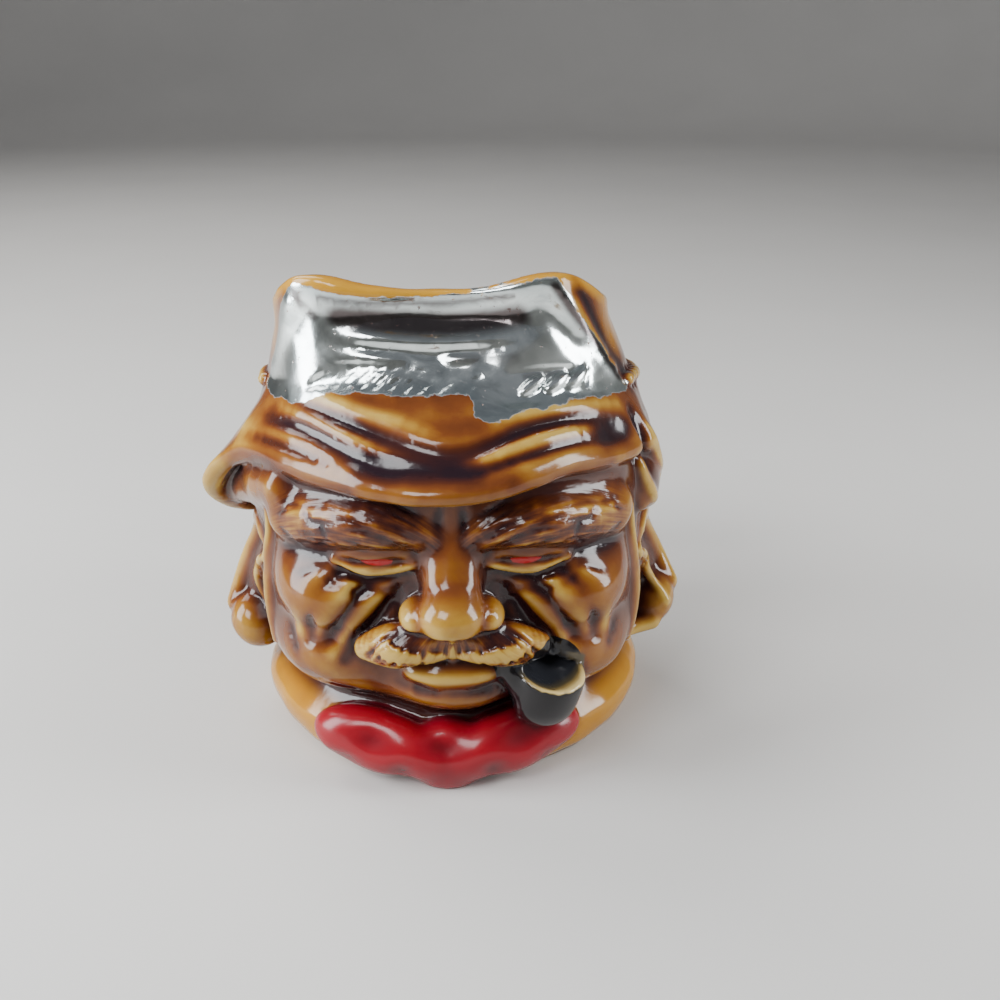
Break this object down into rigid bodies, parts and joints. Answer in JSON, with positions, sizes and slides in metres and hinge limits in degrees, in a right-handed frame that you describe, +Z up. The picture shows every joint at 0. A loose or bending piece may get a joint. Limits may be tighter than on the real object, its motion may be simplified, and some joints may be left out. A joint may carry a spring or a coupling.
{
  "type": "head jug",
  "caption": "Small hollow head jug: a moustached face under a slouch hat whose crown is the open mouth, with a pipe, a bow tie and a loop handle at the back.",
  "frame": {"origin": "centre of the flat underside, on the surface the jug stands on", "axes": "+Z up through the mouth; the face looks along -Y and the handle is at +Y; +X is the side of the face with the pipe"},
  "size_m": [0.0989, 0.1275, 0.0985],
  "materials": {
    "treacle_glaze": "glossy treacle glaze"
  },
  "bodies": {
    "root": {"jug": "treacle_glaze"}
  },
  "joints": []
}
